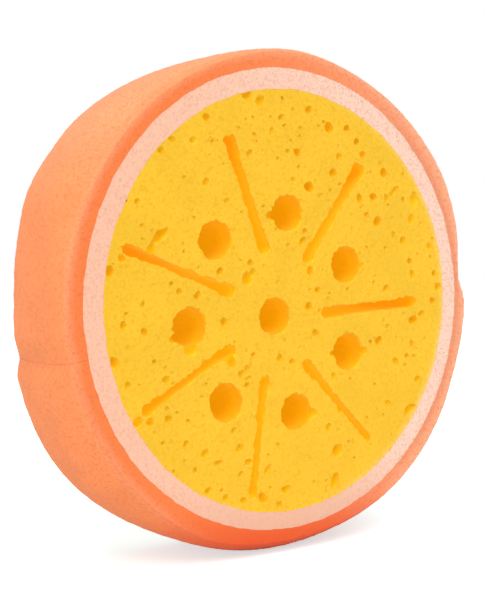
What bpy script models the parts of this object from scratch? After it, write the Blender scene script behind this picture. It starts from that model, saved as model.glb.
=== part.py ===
"""Round bath sponge of laminated foam, standing on its rim.

A disc of coarse-pored foam has punched holes, radial slits and open pores in both faces. A thin pale ring of
fine foam goes round it, and two half hoops of fine foam make the outer rind, butted at the left and right.
Metres, +Z up. The sponge's axis lies along Y, its front faces -Y and it rests on a small flat at the origin.
"""

import math

import bmesh
import bpy
from mathutils import Matrix, Vector

# Slab: every piece is cut from foam of this thickness
THICKNESS = 0.027

# Walls, from the centre outwards
CORE_RADIUS = 0.0530
PITH_WALL = 0.0048
UPPER_HOOP_WALL = 0.0064
LOWER_HOOP_WALL = 0.0072
GLUE_GAP = 0.0003

# Rind: its side is barrel shaped, and its front edge draws in further than its back edge
UPPER_FRONT_DRAW = 0.0028
LOWER_FRONT_DRAW = 0.0040
BACK_EDGE_DRAW = 0.0016
RIND_EDGE_ROUND = 0.0007
BARREL_POWER = 2.6
BARREL_STEPS = 10

# Joints of the two half hoops, as angles counter-clockwise from the right, seen from the front
RIGHT_JOINT = math.radians(4)
LEFT_JOINT = math.radians(192)
HOOP_STEP = math.radians(4)

# The glue draws the ends in: both of them a little on the left, and the upper one further on the right
LEFT_DIP = 0.0008
LEFT_DIP_REACH = 0.0040
RIGHT_DIP = 0.0022
RIGHT_DIP_REACH = 0.0180

# Flat at the bottom, where the foam gives under the sponge's own weight
FOOT_DEPTH = 0.0014

# Cut edges of the inner pieces, softened by the foam itself
CORE_EDGE_ROUND = 0.0005
PITH_EDGE_ROUND = 0.0004
RING_SEGMENTS = 120

# Punched pattern: one hole in its middle and a ring of holes with a slit between each two
PATTERN_RIGHT = -0.0044
PATTERN_UP = -0.0036
HOLE_RADIUS = 0.0050
HOLE_CIRCLE_RADIUS = 0.0259
HOLE_COUNT = 7
HOLE_START = math.radians(30.4)
HOLE_SEGMENTS = 32

# Radial slits: a narrow cut that opens a little at both ends
SLIT_INNER_END = 0.0163
SLIT_RIM_MARGIN = 0.0075
SLIT_WAIST = 0.0014
SLIT_INNER_WIDTH = 0.0030
SLIT_OUTER_WIDTH = 0.0028
SLIT_START = math.radians(2.4)
SLIT_FLARE_POWER = 4
SLIT_SIDE_STEPS = 8
SLIT_CAP_STEPS = 6

# The largest open pores of the front, chosen by eye: right, up and radius as shares of the core's radius
LARGE_PORE_SHARES = (
    (-0.17, 0.93, 0.024), (-0.47, 0.83, 0.021), (-0.71, 0.30, 0.030), (-0.24, 0.11, 0.032),
    (0.24, 0.83, 0.030), (0.27, 0.61, 0.023), (0.59, 0.63, 0.025), (0.12, 0.54, 0.028),
    (0.66, 0.53, 0.026), (0.80, 0.50, 0.031), (0.78, 0.40, 0.025), (0.55, 0.38, 0.028),
    (0.73, 0.29, 0.021), (0.79, 0.11, 0.023), (0.12, -0.03, 0.025), (0.80, -0.12, 0.025),
    (0.56, -0.22, 0.023), (0.83, -0.43, 0.021), (0.77, -0.57, 0.026), (0.30, -0.75, 0.032),
    (0.28, -0.89, 0.030), (-0.02, -0.90, 0.023), (-0.16, -0.92, 0.026), (-0.29, -0.68, 0.023),
    (-0.13, -0.80, 0.021), (-0.26, -0.33, 0.025), (-0.90, -0.09, 0.021), (-0.37, -0.09, 0.021),
    (-0.67, -0.51, 0.021), (-0.69, -0.33, 0.020), (-0.80, -0.12, 0.021),
)
# A pore's centre lies this share of its radius under the face, and its rim this far inside the core's edge
PORE_SINK_SHARE = 0.25
PORE_RIM_MARGIN = 0.0004

# The back has the same kind of pores, turned by this many repeats of the punched pattern
BACK_TURN_REPEATS = 3

# Every cutter runs this far past the faces that it cuts
OVERRUN = 0.002

# Edges that bend more than the first angle are rounded, and those past the second are shaded sharp
CREASE_LIMIT = math.radians(50)
SHARP_LIMIT = math.radians(35)
EDGE_ROUND_SEGMENTS = 2
PORE_SPLIT_COUNT = 2

PITH_INNER_RADIUS = CORE_RADIUS + GLUE_GAP
PITH_OUTER_RADIUS = PITH_INNER_RADIUS + PITH_WALL
RIND_INNER_RADIUS = PITH_OUTER_RADIUS + GLUE_GAP
SLIT_OUTER_END = CORE_RADIUS - SLIT_RIM_MARGIN
UPPER_RADIUS = RIND_INNER_RADIUS + UPPER_HOOP_WALL
LOWER_RADIUS = RIND_INNER_RADIUS + LOWER_HOOP_WALL
FRONT = THICKNESS / 2
BACK = -THICKNESS / 2
MERGE_DISTANCE = GLUE_GAP / 10

# The upper hoop reaches furthest left and the lower one furthest right, so this centres the whole on X
AXIS_RIGHT = (UPPER_RADIUS - LOWER_RADIUS) / 2
AXIS_HEIGHT = LOWER_RADIUS - FOOT_DEPTH

# Foam colours and their roughness
FOAMS = {
    "core_foam": ((0.98, 0.59, 0.04), 0.9),
    "pith_foam": ((0.99, 0.62, 0.45), 0.92),
    "rind_foam": ((0.97, 0.30, 0.11), 0.92),
}


def clear_scene():
    for thing in list(bpy.data.objects):
        bpy.data.objects.remove(thing, do_unlink=True)


def new_collection(name):
    collection = bpy.data.collections.new(name)
    bpy.context.scene.collection.children.link(collection)
    return collection


def foam_material(name, foam):
    colour, roughness = FOAMS[foam]
    material = bpy.data.materials.new(name)
    material.use_nodes = True
    shader = material.node_tree.nodes["Principled BSDF"]
    shader.inputs["Base Color"].default_value = (*colour, 1)
    shader.inputs["Roughness"].default_value = roughness
    shader.inputs["Metallic"].default_value = 0
    return material


def disc_centre(collection):
    """An empty on the sponge's axis. In its frame +Z is the front, +X the right and +Y the top."""
    empty = bpy.data.objects.new("disc_centre", None)
    empty.location = (AXIS_RIGHT, 0, AXIS_HEIGHT)
    empty.rotation_euler = (math.pi / 2, 0, 0)
    collection.objects.link(empty)
    return empty


def new_object(name, mesh, collection, parent):
    thing = bpy.data.objects.new(name, mesh)
    thing.parent = parent
    collection.objects.link(thing)
    return thing


def finish_mesh(name, shape):
    """Turn a bmesh into a mesh with smooth faces and sharp creases."""
    bmesh.ops.recalc_face_normals(shape, faces=shape.faces)
    mesh = bpy.data.meshes.new(name)
    shape.to_mesh(mesh)
    shape.free()
    mesh.shade_smooth()
    mesh.set_sharp_from_angle(angle=SHARP_LIMIT)
    return mesh


def round_edges(shape, edges, width):
    bmesh.ops.bevel(shape, geom=edges, offset=width, offset_type="OFFSET", affect="EDGES",
                    segments=EDGE_ROUND_SEGMENTS, profile=0.5, material=-1, clamp_overlap=True)


def polar(radius, angle):
    return Vector((radius * math.cos(angle), radius * math.sin(angle), 0))


def around(start, count):
    """Angles of a pattern that repeats round the full circle."""
    return [start + math.tau * place / count for place in range(count)]


def punch_hole(name, centre, cutters, parent):
    """A cylinder right through the slab."""
    shape = bmesh.new()
    bmesh.ops.create_cone(shape, cap_ends=True, segments=HOLE_SEGMENTS, radius1=HOLE_RADIUS,
                          radius2=HOLE_RADIUS, depth=THICKNESS + 2 * OVERRUN)
    cutter = new_object(name, finish_mesh(name, shape), cutters, parent)
    cutter.location = centre
    return cutter


def slit_half_width(share):
    """Half the slit's width at a share of the way from its inner to its outer end."""
    inner_flare = (SLIT_INNER_WIDTH - SLIT_WAIST) * (1 - share) ** SLIT_FLARE_POWER
    outer_flare = (SLIT_OUTER_WIDTH - SLIT_WAIST) * share ** SLIT_FLARE_POWER
    return (SLIT_WAIST + inner_flare + outer_flare) / 2


def slit_outline():
    """One slit that points along +X: round ends joined by sides that draw in to the waist."""
    inner_centre = SLIT_INNER_END + SLIT_INNER_WIDTH / 2
    outer_centre = SLIT_OUTER_END - SLIT_OUTER_WIDTH / 2
    run = outer_centre - inner_centre
    points = []
    for step in range(SLIT_CAP_STEPS + 1):
        angle = math.pi * (step / SLIT_CAP_STEPS - 0.5)
        points.append(Vector((outer_centre, 0, 0)) + polar(SLIT_OUTER_WIDTH / 2, angle))
    for step in range(SLIT_SIDE_STEPS - 1, 0, -1):
        share = step / SLIT_SIDE_STEPS
        points.append(Vector((inner_centre + run * share, slit_half_width(share), 0)))
    for step in range(SLIT_CAP_STEPS + 1):
        angle = math.pi * (step / SLIT_CAP_STEPS + 0.5)
        points.append(Vector((inner_centre, 0, 0)) + polar(SLIT_INNER_WIDTH / 2, angle))
    for step in range(1, SLIT_SIDE_STEPS):
        share = step / SLIT_SIDE_STEPS
        points.append(Vector((inner_centre + run * share, -slit_half_width(share), 0)))
    return points


def slit_mesh():
    """The slit's outline as a filled flat curve, extruded right through the slab and made a closed mesh."""
    outline = slit_outline()
    curve = bpy.data.curves.new("slit_outline", "CURVE")
    curve.dimensions = "2D"
    curve.fill_mode = "BOTH"
    curve.extrude = FRONT + OVERRUN
    spline = curve.splines.new("POLY")
    spline.points.add(len(outline) - 1)
    for place, point in zip(spline.points, outline):
        place.co = (*point, 1)
    spline.use_cyclic_u = True
    drawing = bpy.data.objects.new("slit_outline", curve)
    bpy.context.scene.collection.objects.link(drawing)
    depsgraph = bpy.context.evaluated_depsgraph_get()
    solid = bpy.data.meshes.new_from_object(drawing.evaluated_get(depsgraph))
    bpy.data.objects.remove(drawing, do_unlink=True)
    shape = bmesh.new()
    shape.from_mesh(solid)
    bmesh.ops.remove_doubles(shape, verts=shape.verts, dist=MERGE_DISTANCE)
    return finish_mesh("slit", shape)


def pore_mesh(name, face, turn):
    """Spheres just under one face, each opening a round pore in it. They turn about the pattern's middle."""
    middle = Vector((PATTERN_RIGHT, PATTERN_UP, 0))
    rotation = Matrix.Rotation(turn, 3, "Z")
    shape = bmesh.new()
    for right_share, up_share, radius_share in LARGE_PORE_SHARES:
        place = CORE_RADIUS * Vector((right_share, up_share, 0))
        radius = CORE_RADIUS * radius_share
        place = middle + rotation @ (place - middle)
        if place.length + radius + CORE_EDGE_ROUND + PORE_RIM_MARGIN > CORE_RADIUS:
            continue
        depth = PORE_SINK_SHARE * radius
        place.z = face - math.copysign(depth, face)
        bmesh.ops.create_icosphere(shape, subdivisions=PORE_SPLIT_COUNT, radius=radius,
                                   matrix=Matrix.Translation(place))
    return finish_mesh(name, shape)


def punch_pattern(cutters, parent):
    """The centre hole, the ring of holes, the slits between them and the open pores of both faces."""
    middle = Vector((PATTERN_RIGHT, PATTERN_UP, 0))
    punch_hole("centre_punch", middle, cutters, parent)
    for number, angle in enumerate(around(HOLE_START, HOLE_COUNT), start=1):
        punch_hole(f"ring_punch_{number}", middle + polar(HOLE_CIRCLE_RADIUS, angle), cutters, parent)
    blade = slit_mesh()
    for number, angle in enumerate(around(SLIT_START, HOLE_COUNT), start=1):
        knife = new_object(f"slit_knife_{number}", blade, cutters, parent)
        knife.location = middle
        knife.rotation_euler = (0, 0, angle)
    new_object("front_pores", pore_mesh("front_pores", FRONT, 0), cutters, parent)
    back_turn = math.tau * BACK_TURN_REPEATS / HOLE_COUNT
    new_object("back_pores", pore_mesh("back_pores", BACK, back_turn), cutters, parent)
    for cutter in cutters.objects:
        cutter.display_type = "WIRE"
        cutter.hide_render = True


def build_core(parts, cutters, parent):
    """The pored disc, with the punched pattern cut right through it."""
    shape = bmesh.new()
    bmesh.ops.create_cone(shape, cap_ends=True, segments=RING_SEGMENTS, radius1=CORE_RADIUS,
                          radius2=CORE_RADIUS, depth=THICKNESS)
    rims = [edge for edge in shape.edges if edge.calc_face_angle() > CREASE_LIMIT]
    round_edges(shape, rims, CORE_EDGE_ROUND)
    core = new_object("core", finish_mesh("core", shape), parts, parent)
    punch_pattern(cutters, parent)
    cut = core.modifiers.new("Punched pattern", "BOOLEAN")
    cut.operation = "DIFFERENCE"
    cut.operand_type = "COLLECTION"
    cut.collection = cutters
    cut.solver = "EXACT"
    core.data.materials.append(foam_material("core", "core_foam"))
    return core


def wire_profile(name, points):
    """A closed loop of edges, ready to be turned about Z."""
    shape = bmesh.new()
    corners = [shape.verts.new(point) for point in points]
    for first, second in zip(corners, corners[1:] + corners[:1]):
        shape.edges.new((first, second))
    mesh = bpy.data.meshes.new(name)
    shape.to_mesh(mesh)
    shape.free()
    return mesh


def build_pith_ring(parts, parent):
    """The pale ring: a rectangular section with softened corners, turned about the axis."""
    soft = PITH_EDGE_ROUND
    outer, inner = PITH_OUTER_RADIUS, PITH_INNER_RADIUS
    section = [
        (outer - soft, 0, FRONT), (outer, 0, FRONT - soft), (outer, 0, BACK + soft), (outer - soft, 0, BACK),
        (inner + soft, 0, BACK), (inner, 0, BACK + soft), (inner, 0, FRONT - soft), (inner + soft, 0, FRONT),
    ]
    ring = new_object("pith_ring", wire_profile("pith_ring", section), parts, parent)
    turn = ring.modifiers.new("Turn", "SCREW")
    turn.axis = "Z"
    turn.angle = math.tau
    turn.steps = RING_SEGMENTS
    turn.render_steps = RING_SEGMENTS
    turn.use_merge_vertices = True
    turn.merge_threshold = MERGE_DISTANCE
    ring.data.materials.append(foam_material("pith_ring", "pith_foam"))
    return ring


def barrel_radius(wall_radius, front_draw, share):
    """Radius of the rind's side, at a share of the way from its back face (-1) to its front face (+1)."""
    draw = front_draw if share > 0 else BACK_EDGE_DRAW
    return wall_radius - draw * abs(share) ** BARREL_POWER


def hoop_section(wall_radius, front_draw):
    """Section of a half hoop in the XZ plane: flat inside and on both faces, barrel shaped outside."""
    section = [Vector((RIND_INNER_RADIUS, 0, BACK))]
    for step in range(BARREL_STEPS + 1):
        share = 2 * step / BARREL_STEPS - 1
        section.append(Vector((barrel_radius(wall_radius, front_draw, share), 0, FRONT * share)))
    section.append(Vector((RIND_INNER_RADIUS, 0, FRONT)))
    return section


def hoop_shape(wall_radius, front_draw, start, end):
    """A half hoop: its section spun from one joint to the other, with both ends closed."""
    half_gap = math.asin(GLUE_GAP / 2 / RIND_INNER_RADIUS)
    start += half_gap
    end -= half_gap
    shape = bmesh.new()
    turned = Matrix.Rotation(start, 3, "Z")
    corners = [shape.verts.new(turned @ point) for point in hoop_section(wall_radius, front_draw)]
    end_face = shape.faces.new(corners)
    loop = list(end_face.edges)
    bmesh.ops.spin(shape, geom=corners + loop, cent=(0, 0, 0), axis=(0, 0, 1), angle=end - start,
                   steps=round((end - start) / HOOP_STEP), use_merge=False)
    far_loop = [edge for edge in shape.edges if edge.is_boundary]
    bmesh.ops.contextual_create(shape, geom=far_loop)
    bmesh.ops.recalc_face_normals(shape, faces=shape.faces)
    return shape


def outside_of(shape, wall_radius, front_draw):
    """The hoop's points that lie beyond the middle of its wall."""
    middle_of_wall = (RIND_INNER_RADIUS + wall_radius - front_draw) / 2
    return [vertex for vertex in shape.verts if vertex.co.xy.length > middle_of_wall]


def outer_creases(shape, outside):
    """Sharp edges on the hoop's outside: both rims of its side and the outer corners of its ends."""
    points = set(outside)
    return [edge for edge in shape.edges
            if points.issuperset(edge.verts) and edge.calc_face_angle() > CREASE_LIMIT]


def draw_in_end(outside, joint, dip, reach):
    """Draw the hoop's outside in towards one of its joints."""
    for vertex in outside:
        radius = vertex.co.xy.length
        angle = math.atan2(vertex.co.y, vertex.co.x)
        to_joint = radius * abs(math.remainder(angle - joint, math.tau))
        shrink = 1 - dip * max(0, 1 - to_joint / reach) / radius
        vertex.co.x *= shrink
        vertex.co.y *= shrink


def build_hoop(name, wall_radius, front_draw, start, end, dips, parts, parent):
    """One half hoop. Its dips are the joint, the depth and the reach of each end that is drawn in."""
    shape = hoop_shape(wall_radius, front_draw, start, end)
    round_edges(shape, outer_creases(shape, outside_of(shape, wall_radius, front_draw)), RIND_EDGE_ROUND)
    for joint, dip, reach in dips:
        draw_in_end(outside_of(shape, wall_radius, front_draw), joint, dip, reach)
    foot_level = FOOT_DEPTH - LOWER_RADIUS
    everything = shape.verts[:] + shape.edges[:] + shape.faces[:]
    cut = bmesh.ops.bisect_plane(shape, geom=everything, dist=MERGE_DISTANCE / 10, plane_co=(0, foot_level, 0),
                                 plane_no=(0, -1, 0), clear_outer=True)
    foot_rim = [part for part in cut["geom_cut"] if isinstance(part, bmesh.types.BMEdge)]
    if foot_rim:
        bmesh.ops.contextual_create(shape, geom=foot_rim)
    hoop = new_object(name, finish_mesh(name, shape), parts, parent)
    hoop.data.materials.append(foam_material(name, "rind_foam"))
    return hoop


def main():
    clear_scene()
    parts = new_collection("bath_sponge")
    cutters = new_collection("cutters")
    centre = disc_centre(parts)
    build_core(parts, cutters, centre)
    build_pith_ring(parts, centre)
    left_dip = (LEFT_JOINT, LEFT_DIP, LEFT_DIP_REACH)
    right_dip = (RIGHT_JOINT, RIGHT_DIP, RIGHT_DIP_REACH)
    build_hoop("rind_upper", UPPER_RADIUS, UPPER_FRONT_DRAW, RIGHT_JOINT, LEFT_JOINT, (left_dip, right_dip),
               parts, centre)
    build_hoop("rind_lower", LOWER_RADIUS, LOWER_FRONT_DRAW, LEFT_JOINT, RIGHT_JOINT + math.tau, (left_dip,),
               parts, centre)


main()
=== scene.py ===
"""Round bath sponge of laminated foam, standing on its rim.

Four foam pieces are modelled round the frame: the coarse-pored core with its punched holes and slits, the
pale ring that goes round it, and the two half hoops of the orange rind. Lengths are metres, and +Z is up.
"""

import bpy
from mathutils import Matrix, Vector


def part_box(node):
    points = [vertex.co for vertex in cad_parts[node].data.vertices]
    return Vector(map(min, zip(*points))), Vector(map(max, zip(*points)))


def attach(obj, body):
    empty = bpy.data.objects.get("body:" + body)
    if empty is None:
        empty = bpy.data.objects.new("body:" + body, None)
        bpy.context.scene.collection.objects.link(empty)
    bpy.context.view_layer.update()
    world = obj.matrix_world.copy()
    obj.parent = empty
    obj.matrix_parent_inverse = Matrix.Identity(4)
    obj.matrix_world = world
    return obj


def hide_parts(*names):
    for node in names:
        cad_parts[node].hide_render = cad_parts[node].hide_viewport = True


bl_info = {
    "name": "Laminated bath sponge",
    "version": (1, 0, 0),
    "blender": (4, 5, 0),
    "location": "3D View > Sidebar > Bath sponge",
    "description": "Models a round sponge of glued foam with open pores, and the stage that it stands on",
    "category": "Object",
}

import math
import random

import bmesh
import bpy
from bpy.props import FloatProperty, FloatVectorProperty, IntProperty, PointerProperty
from mathutils import Matrix, Vector, noise

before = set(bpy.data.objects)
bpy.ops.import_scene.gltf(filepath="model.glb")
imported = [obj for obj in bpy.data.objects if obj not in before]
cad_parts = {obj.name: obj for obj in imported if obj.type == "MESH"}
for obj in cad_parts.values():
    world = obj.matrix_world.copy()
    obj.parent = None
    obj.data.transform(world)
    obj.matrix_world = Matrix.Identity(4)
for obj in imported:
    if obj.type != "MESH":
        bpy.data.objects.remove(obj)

MM = 0.001

# Where the frame has each foam
CORE_LOW, CORE_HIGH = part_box("core")
RING_LOW, RING_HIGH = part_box("pith_ring")
_, UPPER_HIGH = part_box("rind_upper")
LOWER_LOW, LOWER_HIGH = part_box("rind_lower")
CENTRE = (CORE_LOW + CORE_HIGH) / 2
FACE = (CORE_HIGH.y - CORE_LOW.y) / 2
CORE_RADIUS = (CORE_HIGH.x - CORE_LOW.x) / 2
PITH_RADIUS = (RING_HIGH.x - RING_LOW.x) / 2
UPPER_RADIUS = UPPER_HIGH.z - CENTRE.z
LOWER_RADIUS = LOWER_HIGH.x - CENTRE.x
FLOOR_DROP = CENTRE.z - LOWER_LOW.z

# Disc frame, in which every piece is modelled: +X right, +Y up and +Z out of the front face
DISC_TO_WORLD = Matrix.Translation(CENTRE) @ Matrix.Rotation(math.pi / 2, 4, "X")

# Joints of the two half hoops, counter-clockwise from the right
RIGHT_JOINT = math.radians(4)
LEFT_JOINT = math.radians(192)

# Air between two foams that are glued together
GLUE_LINE = 0.02 * MM

# Punched holes, in millimetres from the disc's centre: right, up and radius
HOLES_MM = (
    (-4.5, -3.9, 4.7), (-0.5, 22.0, 4.7), (-22.3, 15.0, 4.8), (-29.7, -5.7, 4.8),
    (-19.2, -24.6, 4.8), (2.3, -28.4, 4.7), (19.3, -13.9, 4.8), (18.4, 8.9, 4.8),
)

# Slits in millimetres: outer end, inner end, widths at the outer end, waist and inner end, and sideways hook
SLITS_MM = (
    ((-18.6, 40.5), (-7.2, 11.8), (3.8, 2.1, 4.0), 0.0),
    ((23.8, 35.0), (5.0, 9.6), (4.4, 1.9, 3.6), 0.0),
    ((43.2, -1.2), (10.6, -3.6), (3.3, 2.1, 3.3), 0.0),
    ((27.0, -38.0), (4.8, -15.6), (2.3, 1.1, 3.4), 0.0),
    ((-11.3, -48.8), (-7.7, -18.7), (2.7, 1.4, 3.5), 0.4),
    ((-42.6, -25.5), (-17.1, -10.5), (3.0, 1.1, 4.0), 1.0),
    ((-47.6, 13.2), (-16.6, 2.1), (3.0, 1.2, 3.6), 0.0),
)

# Round pores of the front that are seen one by one, in millimetres: right, up and radius
ROUND_PORES_MM = (
    (-13, 50.5, 1.2), (-9, 49.3, 1.3), (-2.2, 50.5, 0.6), (-24.8, 44.3, 1.1), (-28.6, 38.5, 1.0),
    (-34.5, 38.6, 0.9), (-37.5, 35.8, 0.9), (-23, 38.7, 0.8), (-12.2, 36.5, 0.9), (-25, 29, 0.9),
    (-19, 24.5, 0.8), (-44, 23.8, 0.8), (-47, 24, 0.6), (-51.2, 7.7, 1.2), (-48, 10.6, 1.0),
    (-12.8, 5.6, 1.6), (-11.2, 7.1, 0.9), (-12, 9.7, 0.9), (-21, 7.6, 0.9), (-31.3, 12.2, 0.6),
    (-34.8, 4.8, 0.6), (-32.7, 2.9, 0.8), (-27.5, 1.7, 1.0), (-42.5, 0, 0.7), (-2.6, 45.8, 0.8),
    (-1.5, 43.8, 0.6), (-5.5, 42, 0.8), (2.5, 37.3, 1.1), (-0.5, 37.5, 0.7), (0.5, 40, 0.6),
    (-8, 23.5, 0.6), (-0.5, 14, 0.7), (1.2, 30.3, 0.8), (-10.8, 41, 0.6), (-11.2, 45.3, 0.5),
    (1, 48, 0.5), (12.8, 44.2, 1.6), (11, 45.4, 0.6), (18.8, 44.2, 1.0), (6.2, 48.2, 1.0),
    (22, 41, 1.1), (24, 37.8, 0.9), (16, 36.8, 0.9), (14.2, 32.5, 1.2), (31.5, 33.3, 1.3),
    (27, 33.2, 0.6), (6.3, 28.7, 1.5), (23, 26.2, 1.1), (27.8, 26.8, 1.1), (32.5, 26.5, 0.9),
    (38.3, 26.4, 0.7), (41.5, 21, 1.3), (29.3, 20.2, 1.5), (25.5, 22, 0.8), (33, 24.8, 0.5),
    (38.5, 15.2, 1.1), (35, 17.2, 0.6), (32.2, 13, 0.8), (48.3, 13.8, 0.9), (48.5, 11, 0.5),
    (41, 9.7, 1.0), (50, 6.3, 0.9), (51.6, 2.6, 1.3), (32.3, 2.4, 1.0), (9.2, 2.4, 0.9),
    (6.5, 2.5, 0.5), (4.8, 17.5, 0.8), (25.5, 13.5, 0.5), (19, 2.5, 0.5), (13, 1.6, 0.5),
    (6.3, -1.8, 1.3), (28, 4.2, 0.5), (3, 33.5, 0.6), (3.3, 43.5, 0.5), (13.3, 28, 0.5),
    (49.5, -1.2, 1.1), (42.3, -6.2, 1.3), (45.3, -4.8, 1.0), (33, -7.7, 0.8), (29.8, -11.5, 1.2),
    (27, -11.5, 0.7), (8.3, -8.5, 1.0), (41.8, -12.8, 0.9), (36, -17.3, 1.0), (40, -16, 0.8),
    (39.5, -18.5, 0.6), (43.8, -22.6, 1.1), (33.3, -28.5, 0.9), (31.5, -31.5, 0.5), (16.5, -29, 1.0),
    (25.8, -31.7, 0.6), (12.8, -33.2, 1.0), (15.8, -39.5, 1.7), (21.5, -42, 0.5), (12, -47, 0.6),
    (8, -47, 0.6), (-1, -47.8, 1.2), (-3.2, -51.5, 1.0), (-3, -14.5, 1.0), (1, -15.5, 0.9),
    (20, -21, 0.6), (19.5, -37.5, 0.5), (14.5, -20, 0.9), (28.5, -23, 0.6), (34.5, -37, 0.4),
    (-47.7, -4.7, 1.0), (-42.2, -6.3, 1.0), (-47, -2, 0.6), (-50, -13, 1.2), (-39.5, -13.3, 0.7),
    (-36.3, -17.8, 1.0), (-46.7, -18.5, 0.9), (-36.5, -15, 0.5), (-19.8, -4.8, 1.1), (-14.8, -17.8, 0.9),
    (-13.2, -16.6, 0.8), (-13, -20.5, 0.8), (-11.2, -13.2, 0.7), (-35.7, -27.2, 1.0), (-33.3, -25.8, 0.5),
    (-30.3, -28, 0.6), (-40.7, -27.5, 1.0), (-37.3, -32.8, 0.6), (-30.8, -33.5, 0.8), (-17, -31.5, 0.8),
    (-25.5, -36.3, 1.0), (-15.2, -36, 1.2), (-28.3, -40, 0.7), (-34.3, -39.7, 0.6), (-31.5, -37.5, 0.4),
    (-12.7, -39.6, 0.8), (-24.5, -45.5, 1.0), (-19.5, -47.8, 0.9), (-20.7, -45.8, 0.6), (-14.3, -49, 0.9),
    (-8.3, -49.2, 1.4), (-6, -46.7, 0.5),
)

# Long pores, then the bites in the rims of the holes and slits: right, up, radius, length as a share of the
# radius, and tilt in degrees
LONG_PORES_MM = (
    (-37.8, 15.8, 1.5, 1.9, 40), (42.5, 26.3, 1.4, 1.7, 90), (35.3, 28.4, 0.9, 2.6, 45),
    (42, 5.8, 0.9, 1.9, 100), (41.2, -30.5, 1.3, 1.8, 25), (15, -47.3, 1.3, 1.7, 65),
    (-21.5, -39, 0.8, 1.9, 10), (-15, -42.5, 0.7, 1.8, 50), (-6.8, -42.3, 0.9, 1.9, 60),
    (-3.5, -36.3, 0.6, 1.6, 120), (-40.2, 12.9, 1.1, 1.6, 60),
    (-5.4, 21.2, 1.3, 1.5, 10), (-29.4, -10.6, 1.9, 1.2, 90), (-33.7, -8.2, 1.3, 1.4, 35),
    (7.3, -29.2, 1.5, 1.3, 0), (24.2, -13.9, 1.3, 1.5, 0), (14.3, -14.1, 0.9, 1.4, 0),
    (23.5, 8.6, 0.9, 1.3, 0), (4.1, 14.9, 0.9, 1.6, 45), (-18.0, -14.2, 1.5, 1.5, -50),
    (6.6, 7.4, 1.1, 1.4, 90), (-44.0, -27.4, 1.2, 1.4, 40),
)

# Slow waves of the two glue lines: waves in the full circle, cosine and sine part in millimetres
CORE_WAVES_MM = ((0, 0.1, 0.0), (1, 0.28, -0.27), (3, 0.1, 0.0))
RIND_WAVES_MM = ((0, -0.2, 0.0), (3, 0.0, -0.12))

# Waves of the rind's front edge, given in the same way
FRONT_WAVES_MM = ((1, 0.6, 0.3), (2, 0.3, 0.1), (3, -0.1, -0.3), (4, -0.3, 0.1))

# Bulges and hollows of that edge: angle and reach in degrees, and height in millimetres
FRONT_BULGES_MM = (
    (33, 8, 0.35), (88, 14, 0.7), (178, 32, 0.8), (247, 21, 1.9), (306, 14, 0.35), (339, 9, -0.45),
)

# Bulges and hollows of the rind's side behind that edge, given in the same way
SIDE_BULGES_MM = (
    (94, 9, -1.2), (108, 15, -1.35), (144, 5, -0.5), (146, 16, 1.5), (157, 5, 0.4), (178, 9, -0.6),
    (220, 19, 1.7), (258, 24, -1.1), (285, 13, -0.8),
)


def length_setting(name, description, default_mm, least_mm=0):
    """A length that the user can change."""
    return FloatProperty(name=name, description=description, default=default_mm * MM, min=least_mm * MM,
                         unit="LENGTH")


def colour_setting(name, description, default):
    """A colour that the user can change, as linear red, green and blue."""
    return FloatVectorProperty(name=name, description=description, default=default, min=0, max=1,
                               subtype="COLOR")


def light_setting(name, description, default):
    """A light's strength that the user can change, where 1 shows a white surface as white."""
    return FloatProperty(name=name, description=description, default=default, min=0)


class FoamShape(bpy.types.PropertyGroup):
    """Sizes of the foam's surface."""

    broad_unevenness: length_setting("Broad unevenness", "Height of the slow waves of a cut face", 0.1)
    fine_unevenness: length_setting("Fine unevenness", "Height of the small lumps of a cut face", 0.05)
    wall_raggedness: length_setting(
        "Wall raggedness", "How far torn cells stand out of the walls of holes and slits", 0.3)
    glue_wander: length_setting(
        "Glue line wander", "How far the glue lines between the foams leave a true circle", 0.22)
    face_pitch: length_setting("Face pitch", "Distance between the points of the core's faces", 0.85, 0.3)
    rim_pitch: length_setting("Rim pitch", "Distance between the points of the ring and the rind", 0.6, 0.3)
    small_pores: IntProperty(
        name="Small pores", description="Count of the scattered small pores in each face",
        default=230, min=0)
    upper_front_draw: length_setting(
        "Upper front draw", "How far the upper hoop's side draws in at the front edge", 3.3)
    lower_front_draw: length_setting(
        "Lower front draw", "How far the lower hoop's side draws in at the front edge", 4.2)
    back_draw: length_setting("Back draw", "How far the rind's side draws in at the back edge", 1.6)
    edge_softness: length_setting("Edge softness", "Width of the rind's rounded edges", 1.0, 0.1)
    rim_fuzz: length_setting("Rim fuzz", "How far the torn cells of the rind stand out", 0.13)
    upper_left_dip: length_setting(
        "Upper left dip", "How far the upper hoop draws in at the left joint", 0.65)
    lower_left_dip: length_setting(
        "Lower left dip", "How far the lower hoop draws in at the left joint", 1.45)
    upper_right_dip: length_setting(
        "Upper right dip", "How far the upper hoop draws in at the right joint", 2.3)
    lower_right_dip: length_setting(
        "Lower right dip", "How far the lower hoop draws in at the right joint", 1.9)


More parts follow.
